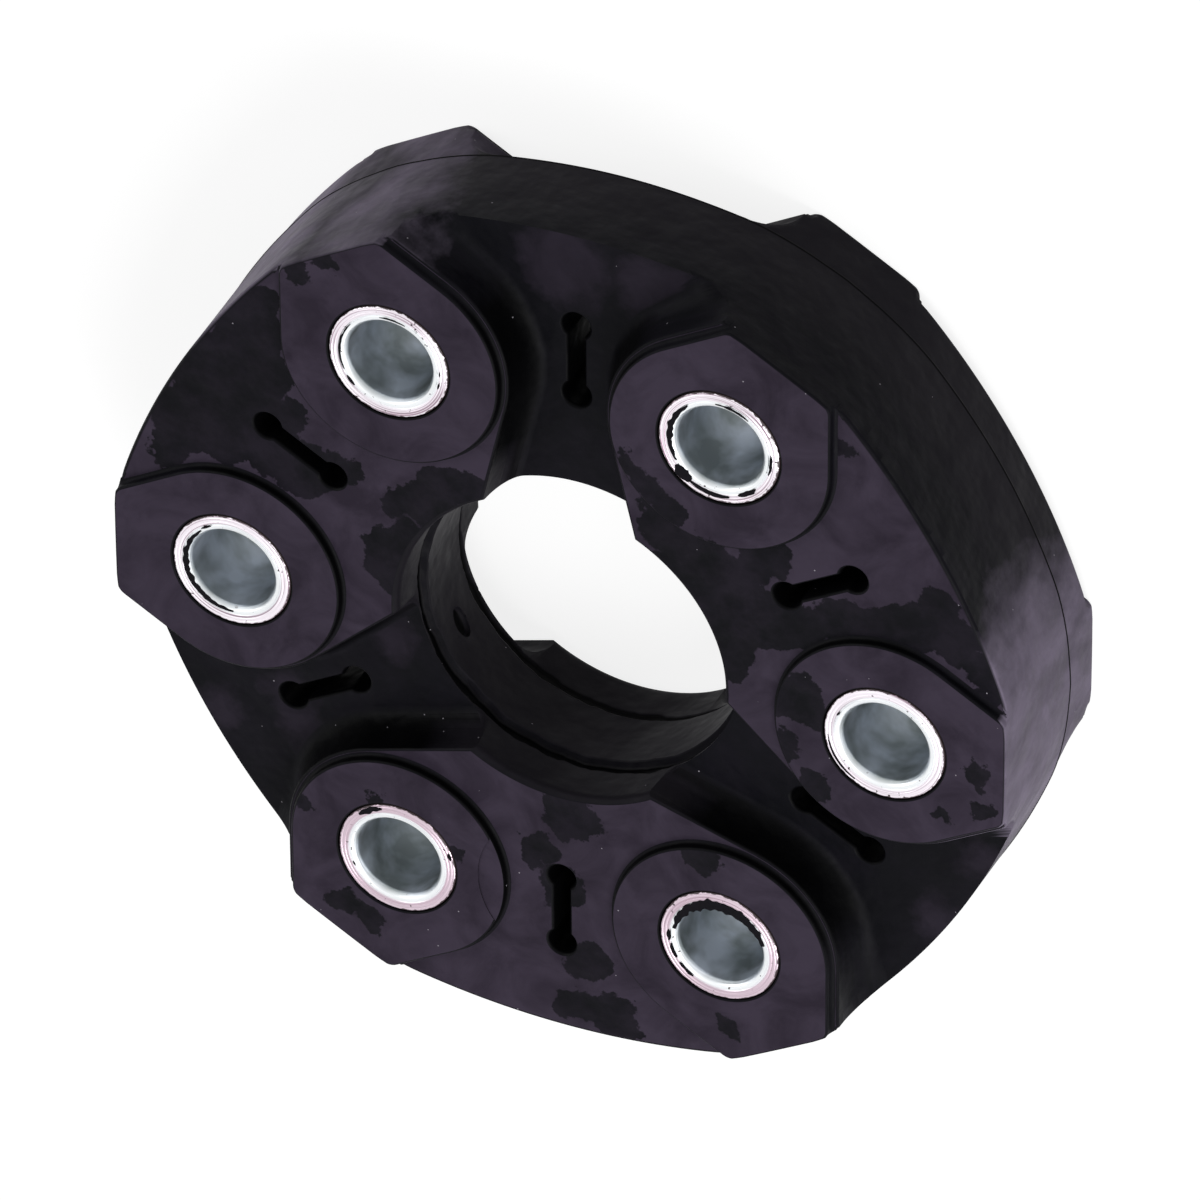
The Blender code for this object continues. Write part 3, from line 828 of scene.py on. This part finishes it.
def zinc_material():
    """Zinc plate over turned steel: pale and satin with fine grooves, and painted grey green inside with
    patches of painted reflection and shade.
    """
    material, tree, shader = new_material("zinc_plated_turned_steel")
    local = add_node(tree, "Attribute", attribute_name="from_axis").outputs["Vector"]
    from_bore = add_node(tree, "VectorMath", {0: local, 1: (1, 1, 0)}, operation="MULTIPLY")
    radius = add_node(tree, "VectorMath", {0: from_bore}, operation="LENGTH")
    place = add_node(tree, "TexCoord").outputs["Object"]
    cloud = add_node(tree, "TexNoise", {"Vector": place, "Scale": 1 / (6 * MM), "Detail": 3.0,
                                        "Distortion": 0.2})
    # painted reflection and shade in the bore: pale and dark patches
    painted_bore_light = add_node(tree, "MapRange", {"Value": cloud, "From Min": 0.38, "From Max": 0.66})
    inside = add_node(tree, "Mix", {0: painted_bore_light, 6: colour("9ca2a2"), 7: colour("dbe1ea")}, data_type="RGBA")
    ring = add_node(tree, "CombineXYZ", {"X": radius})
    ring = add_node(tree, "VectorMath", {0: place, 1: (0.02, 0.02, 0), 2: ring}, operation="MULTIPLY_ADD")
    groove = add_node(tree, "TexNoise", {"Vector": ring, "Scale": 1 / (0.22 * MM), "Detail": 1.0})
    ends = end_tone(tree, place, radius, groove)
    mouth = add_node(tree, "MapRange", {"Value": radius, "From Min": 6.2 * MM, "From Max": 6.7 * MM})
    tint = add_node(tree, "Mix", {0: mouth, 6: inside, 7: ends}, data_type="RGBA")
    grime = grime_mask(tree, place, radius, mouth)
    tint = add_node(tree, "Mix", {0: grime, 6: tint, 7: colour("3a2c30")}, data_type="RGBA")
    bare = add_node(tree, "Math", {0: 1.0, 1: grime}, operation="SUBTRACT")
    rough = add_node(tree, "MapRange", {"Value": cloud, "To Min": 0.3, "To Max": 0.5})
    bump = add_node(tree, "Bump", {"Height": groove, "Strength": 1.0, "Distance": 0.06 * MM})
    fill(tree, shader, {"Base Color": tint, "Metallic": bare, "Roughness": rough, "Normal": bump})
    return material


zinc = zinc_material()

# %% [markdown]
# ## Bushes
# A bush is a thick sleeve with a shoulder at each end that locks it into the rubber. It was turned on a
# lathe, so it is one profile spun round its axis: a bore with a chamfer, a bright ridge round it, and a
# wider grooved ring.

# %% Turn the bushes
bore_radius = 6.15
ring_height = 14.9
end_profile = [(bore_radius, 14.0), (6.25, 14.3), (6.62, 14.82), (6.72, ring_height), (7.12, ring_height),
               (7.2, 14.78), (7.34, 14.78), (7.42, 14.88), (7.72, 14.88), (7.8, 14.83), (7.88, 14.88),
               (8.22, 14.88), (8.3, 14.83), (8.38, 14.88), (8.6, 14.88), (8.7, 14.8), (ring_radius, 14.65)]
bush_profile = end_profile + [(ring_radius, 12.1), (8.85, shoulder_half), (10.4, shoulder_half),
                              (shoulder_radius, 11.8)]
bush_profile += [(radius, -height) for radius, height in reversed(bush_profile)]
for number, axis in bush_axes.items():
    bush = revolve("bush", bush_profile, axis, 128)
    finish_piece(bush, f"turned_bush_{number}", zinc, [f"bush_{number}"], sharp_turn=50)
    local = bush.data.attributes.new("from_axis", "FLOAT_VECTOR", "POINT")
    middle = axis * MM
    for vert, value in zip(bush.data.vertices, local.data):
        value.vector = vert.co - middle
print("bush", len(bush.data.polygons), "faces")

# %% [markdown]
# ## Flash and shadow lines
# Liquid rubber crept over the bush ends in the mould, and most of it was trimmed. What is left is thin black
# crescents and crumbs that lie on the steel. A crescent is a ragged outline lofted over a tenth of a
# millimetre. Some thin arcs, on bushes 1, 2 and 5, are painted shadow lines along the ridge and the outer
# edge.

# %% Finish of the flash and the shadow lines
def flash_and_shadow_line_material():
    """Thin trimmed rubber, also used for the painted shadow lines: deep black, because no bloom has had time
    to form on the flash, with a torn grain.
    """
    material, tree, shader = new_material("trimmed_rubber_flash")
    place = add_node(tree, "TexCoord").outputs["Object"]
    grain = add_node(tree, "TexNoise", {"Vector": place, "Scale": 1 / (0.4 * MM), "Detail": 4.0})
    tint = add_node(tree, "Mix", {0: grain, 6: colour("040405"), 7: colour("16141a")}, data_type="RGBA")
    matt = add_node(tree, "MapRange", {"Value": grain, "To Min": 0.4, "To Max": 0.7})
    bump = add_node(tree, "Bump", {"Height": grain, "Strength": 1.0, "Distance": 0.05 * MM})
    fill(tree, shader, {"Base Color": tint, "Roughness": matt, "Specular IOR Level": 0.05, "Normal": bump})
    return material


trimmed = flash_and_shadow_line_material()

# %% Loft the flash and the shadow lines
def crescent(axis, start, end, inner, outer, seed, inset):
    """The ragged outline of a thin crescent from one angle to another in degrees, drawn in all round."""
    steps = max(6, round((end - start) / 2))
    turns = [math.radians(start + (end - start) * i / steps) for i in range(steps + 1)]
    middle = (inner + outer) / 2
    rims = []
    for side in (1, -1):
        rim = []
        for i, turn in enumerate(turns):
            taper = math.sin(math.pi * (0.04 + 0.92 * i / steps)) ** 0.6
            spot = Vector((middle * turn / 0.9, 5.0 * side, seed))
            half = (outer - inner) / 2 * taper * (1 + 0.7 * noise.noise(spot)) - inset
            reach = middle + side * max(half, 0.02)
            rim.append(axis.xy + reach * Vector((math.cos(turn), math.sin(turn))))
        rims.append(rim)
    return rims[0] + rims[1][::-1]


def add_flash_and_shadow_lines(name, axis, base, crumbs):
    """Crescents given as (start, end, inner, outer), joined in one piece that lies on a surface."""
    pile = bmesh.new()
    for seed, (start, end, inner, outer) in enumerate(crumbs):
        levels = [(base + rise, crescent(axis, start, end, inner, outer, seed, inset))
                  for rise, inset in ((-0.04, 0.0), (0.05, 0.0), (0.08, 0.04))]
        crumb = loft("crumb", levels)
        pile.from_mesh(crumb.data)
        bpy.data.objects.remove(crumb)
    return finish_piece(finish_solid(pile, name), name, trimmed)


# angles in degrees about each bush, radii in millimetres from its axis
# thin arcs on bushes 1, 2 and 5 along the ridge and the outer edge are painted shadow lines; the rest is
# flash
bush_flash_and_shadow_lines = {
    1: [(110, 175, 7.0, 7.3), (183, 196, 7.0, 7.5), (39, 70, 6.9, 7.15), (312, 320, 7.4, 7.7),
        (328, 334, 7.4, 7.6)],
    2: [(100, 241, 6.45, 7.3), (84, 98, 7.0, 7.3)],
    3: [(76, 104, 7.6, 8.5), (171, 177, 6.95, 7.2), (344, 352, 8.0, 8.6)],
    4: [(-13, 142, 5.95, 7.45), (146, 160, 7.2, 7.8), (164, 182, 7.1, 7.7), (188, 209, 7.2, 7.7)],
    5: [(122, 128, 7.2, 7.5), (156, 209, 8.1, 8.35)],
    6: [(99, 181, 6.7, 7.55), (186, 208, 6.7, 8.5), (206, 251, 7.4, 8.1), (262, 285, 7.1, 7.8),
        (23, 64, 6.85, 7.2), (312, 337, 7.3, 7.75)]}
for number, crumbs in bush_flash_and_shadow_lines.items():
    add_flash_and_shadow_lines(f"rubber_flash_and_shadow_lines_{number}", bush_axes[number], ring_height, crumbs)
print("flash on", len(bush_flash_and_shadow_lines), "bushes")

# %% [markdown]
# ## Inner pieces
# The collars and cord loops are sealed in the rubber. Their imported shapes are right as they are, so they
# only get their finish: grey pressed steel, and yellow brown cord wound in turns and soaked in rubber
# cement.

# %% Finish the inner pieces
def steel_material():
    """Pressed sheet steel: mid grey metal with faint drawing marks round the ring."""
    material, tree, shader = new_material("pressed_sheet_steel")
    place = add_node(tree, "TexCoord").outputs["Object"]
    along = 1 / (6 * MM)
    marks = add_node(tree, "Mapping", {"Vector": place, "Scale": (along, along, 1 / (0.3 * MM))})
    marks = add_node(tree, "TexNoise", {"Vector": marks, "Scale": 1.0, "Detail": 4.0})
    tint = add_node(tree, "Mix", {0: marks, 6: colour("8d9093"), 7: colour("b9bcbf")}, data_type="RGBA")
    rough = add_node(tree, "MapRange", {"Value": marks, "To Min": 0.3, "To Max": 0.5})
    fill(tree, shader, {"Base Color": tint, "Roughness": rough, "Metallic": 1.0})
    return material


def cord_material():
    """Wound polyester cord in cement: matt yellow brown, with turns 0.8 mm apart shown as bump and tone."""
    material, tree, shader = new_material("wound_polyester_cord")
    place = add_node(tree, "TexCoord").outputs["Object"]
    height = add_node(tree, "SeparateXYZ", {"Vector": place}).outputs["Z"]
    turn = add_node(tree, "Math", {0: height, 1: 2 * math.pi / (0.8 * MM)}, operation="MULTIPLY")
    turn = add_node(tree, "Math", {0: turn}, operation="SINE")
    turn = add_node(tree, "MapRange", {"Value": turn, "From Min": -1.0})
    tint = add_node(tree, "Mix", {0: turn, 6: colour("4a3d28"), 7: colour("9a8560")}, data_type="RGBA")
    bump = add_node(tree, "Bump", {"Height": turn, "Strength": 1.0, "Distance": 0.2 * MM})
    fill(tree, shader, {"Base Color": tint, "Roughness": 0.85, "Normal": bump})
    return material


inner_finishes = {"collar": steel_material(), "cord_loop": cord_material()}
for name in inner_nodes:
    finish = inner_finishes[next(kind for kind in inner_finishes if name.startswith(kind))]
    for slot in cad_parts[name].material_slots:
        slot.material = finish
print("finished", len(inner_nodes), "inner pieces")

# %% [markdown]
# ## Floor and light
# The floor is plain and white to the camera and to mirrors of it, and still takes the disc's soft shadow. To
# the light that falls on the disc it is mid grey, so that the walls stay as dark as they are.

# %% Floor, world and lamps
def white_to_camera(tree, surface, shown):
    """Mix in the white ground for rays that show it: from the camera, off gloss and through glass."""
    path = add_node(tree, "LightPath").outputs
    seen = add_node(tree, "Math", {0: path["Is Camera Ray"], 1: path["Is Glossy Ray"]}, operation="MAXIMUM")
    seen = add_node(tree, "Math", {0: seen, 1: path["Is Transmission Ray"]}, operation="MAXIMUM")
    return add_node(tree, "MixShader", {0: seen, 1: surface, 2: shown})


world = bpy.data.worlds.new("studio")
bpy.context.scene.world = world
world.use_nodes = True
tree = world.node_tree
tree.nodes.clear()
soft = add_node(tree, "Background", {"Color": (1, 1, 1, 1), "Strength": 0.3})
white = add_node(tree, "Background", {"Color": (1, 1, 1, 1), "Strength": 1.0})
add_node(tree, "OutputWorld", {"Surface": white_to_camera(tree, soft, white)})

bpy.ops.mesh.primitive_plane_add(size=6, location=(0, 0, cad_low.z))
floor = bpy.context.object
floor.name = "studio_floor"
# plain white paper to the eye, with the shadow on it
material = bpy.data.materials.new("white_paper")
material.use_nodes = True
tree = material.node_tree
tree.nodes.clear()
paper = add_node(tree, "BsdfDiffuse", {"Color": (0.4, 0.4, 0.4, 1)})
thin = add_node(tree, "BsdfDiffuse", {"Color": (0.25, 0.25, 0.25, 1)})
glow = add_node(tree, "Emission", {"Strength": 0.84})
lit = add_node(tree, "AddShader", {0: thin, 1: glow})
add_node(tree, "OutputMaterial", {"Surface": white_to_camera(tree, paper, lit)})
floor.data.materials.append(material)
floor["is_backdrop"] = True


def add_lamp(name, direction, distance, size, strength):
    """A soft square lamp that looks at the disc; the strength is the light that it sends to the disc."""
    lamp = bpy.data.lights.new(name, "AREA")
    lamp.size = size
    lamp.energy = strength * 4 * distance ** 2
    item = bpy.data.objects.new(name, lamp)
    bpy.context.scene.collection.objects.link(item)
    place = Vector(direction).normalized()
    item.location = place * distance
    item.rotation_euler = place.to_track_quat("Z", "Y").to_euler()
    return item


add_lamp("right_softbox", (0.45, -0.75, 1.1), distance=0.9, size=0.6, strength=1.9)
add_lamp("left_softbox", (-0.5, 0.9, 0.7), distance=0.9, size=0.5, strength=0.7)

# %% View settings and finish
bpy.context.scene.view_settings.view_transform = "Standard"
visual_low, visual_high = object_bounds()
room = [*(visual_low - cad_low), *(cad_high - visual_high)]
print("room inside the packed box in mm:", [round(1000 * value, 2) for value in room])
